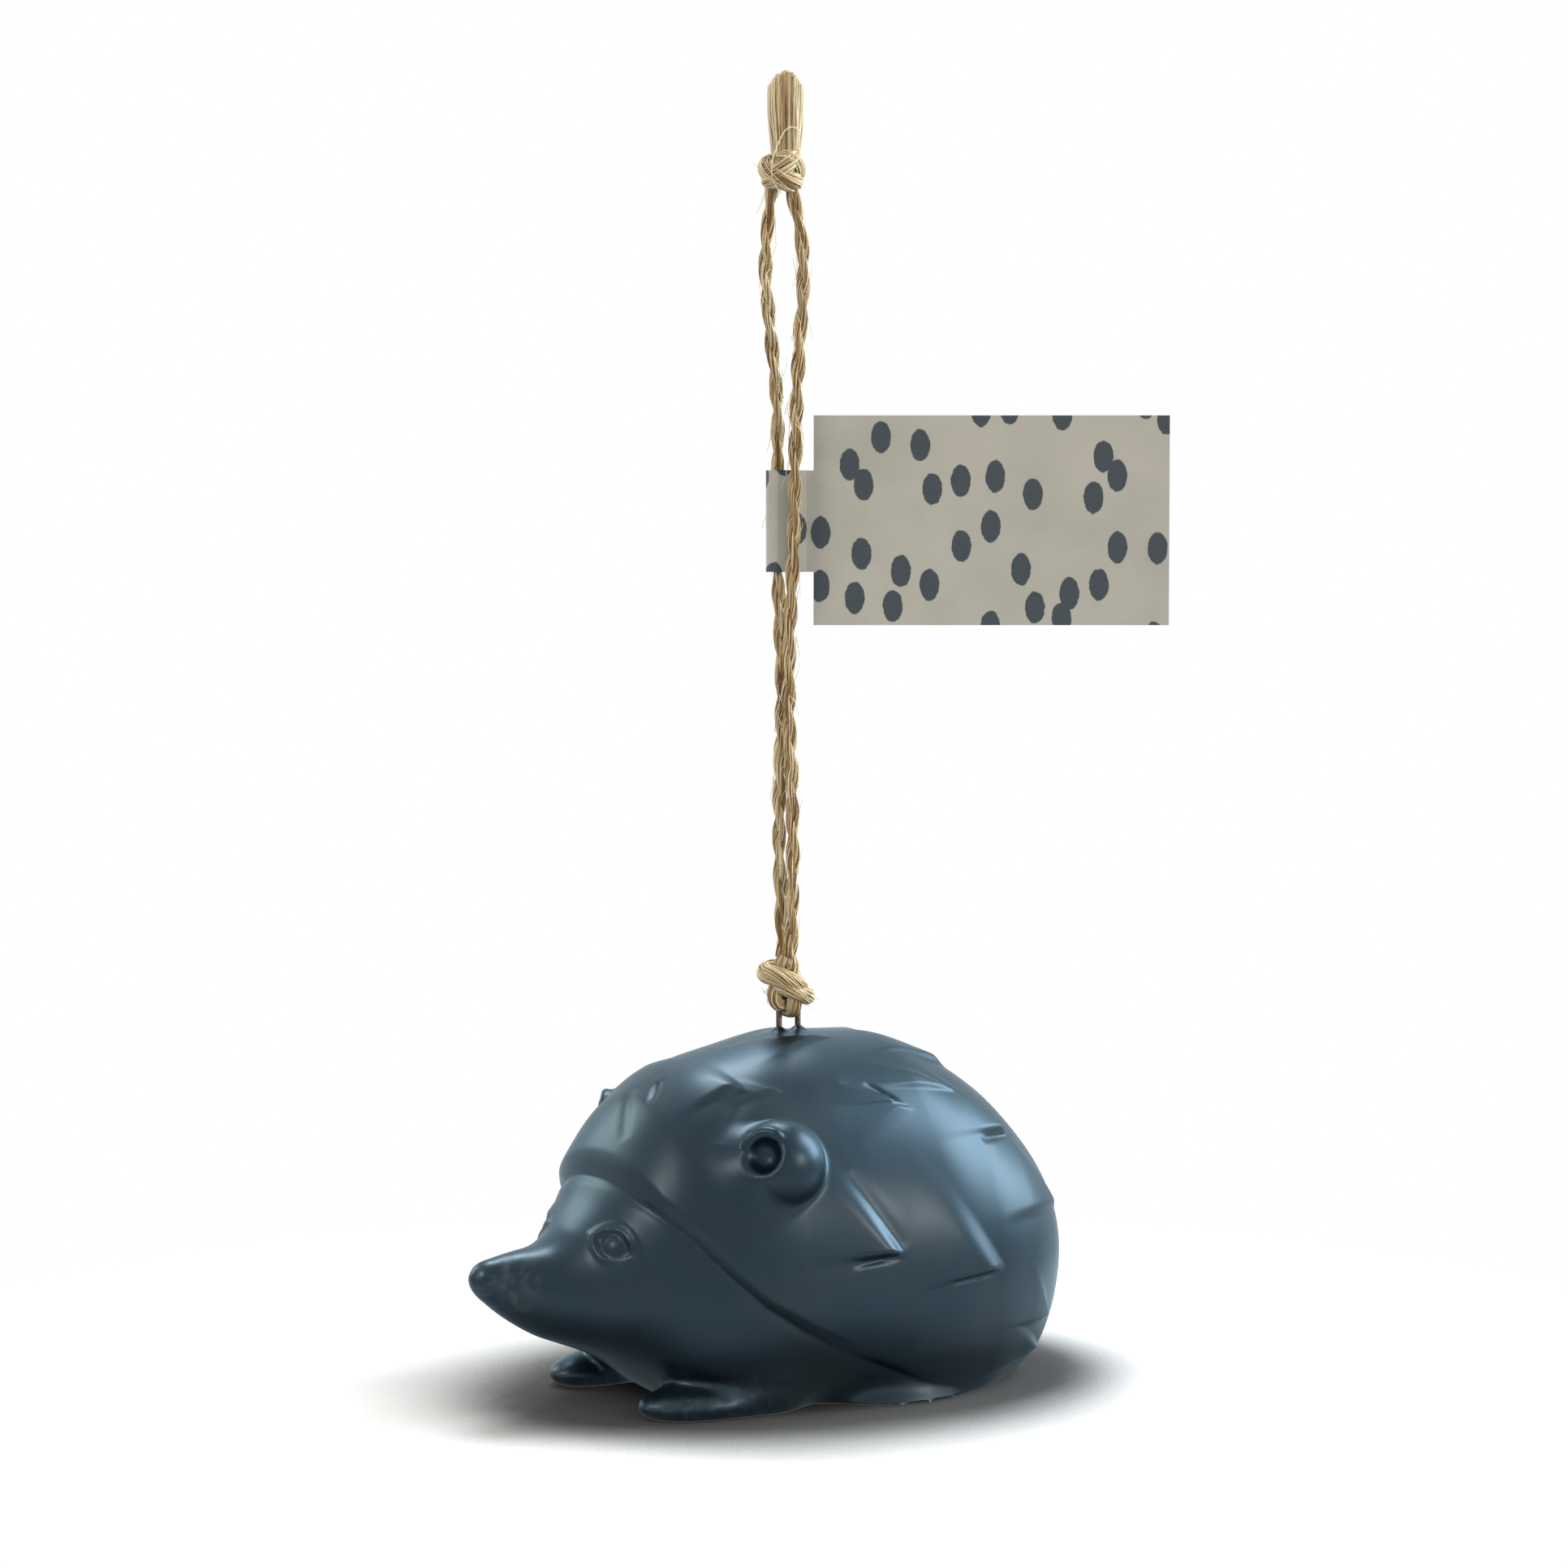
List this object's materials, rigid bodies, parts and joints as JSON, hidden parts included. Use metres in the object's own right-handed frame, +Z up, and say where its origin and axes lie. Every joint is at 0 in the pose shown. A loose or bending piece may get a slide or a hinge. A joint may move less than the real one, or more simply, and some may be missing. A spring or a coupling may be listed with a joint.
{
  "type": "hanging animal figurine",
  "caption": "Hollow glazed ceramic hedgehog ornament with a wire eye in its back, hung from a knotted loop of jute twine that carries a folded card tag.",
  "frame": {"origin": "the place in the twine loop, under the top knot, where a hook bears", "axes": "+Z up, the hedgehog looks along -X, its left side is towards -Y"},
  "size_m": [0.093, 0.0534, 0.1766],
  "materials": {
    "glaze": "satin metallic blue-grey glaze",
    "iron_wire": "fired bare iron wire",
    "jute": "two-ply jute twine",
    "card": "uncoated card with dark printed spots"
  },
  "bodies": {
    "hanger": {"twine_tails": "jute", "twine_top_knot": "jute", "twine_left_strand": "jute", "twine_right_strand": "jute", "twine_left_lower_strand": "jute"},
    "lower_knot": {"twine_lower_knot": "jute"},
    "bight": {"twine_bight": "jute"},
    "figurine": {"hedgehog_body": "glaze", "wire_eye": "iron_wire"},
    "neck_core": {"twine_neck_core": "jute"},
    "tag": {"swing_tag": "card"}
  },
  "joints": [
    {"name": "twine_twist", "type": "hinge", "parent": "hanger", "child": "lower_knot", "pos_m": [0, 0, -0.1049], "axis": [0, 0, 1], "range_deg": [-180, 180]},
    {"name": "sway", "type": "hinge", "parent": "lower_knot", "child": "bight", "pos_m": [0, 0, -0.1049], "axis": [0, 1, 0], "range_deg": [-25, 25]},
    {"name": "eye_swing", "type": "hinge", "parent": "bight", "child": "figurine", "pos_m": [0, 0, -0.108], "axis": [1, 0, 0], "range_deg": [-45, 45]},
    {"name": "tag_turn", "type": "hinge", "parent": "hanger", "child": "neck_core", "pos_m": [-0.0007, 0.00162, -0.045], "axis": [0, 0, 1], "range_deg": [-15, 180]},
    {"name": "tag_slide", "type": "slide", "parent": "neck_core", "child": "tag", "axis": [0, 0, 1], "range_m": [0, 0.01]}
  ]
}
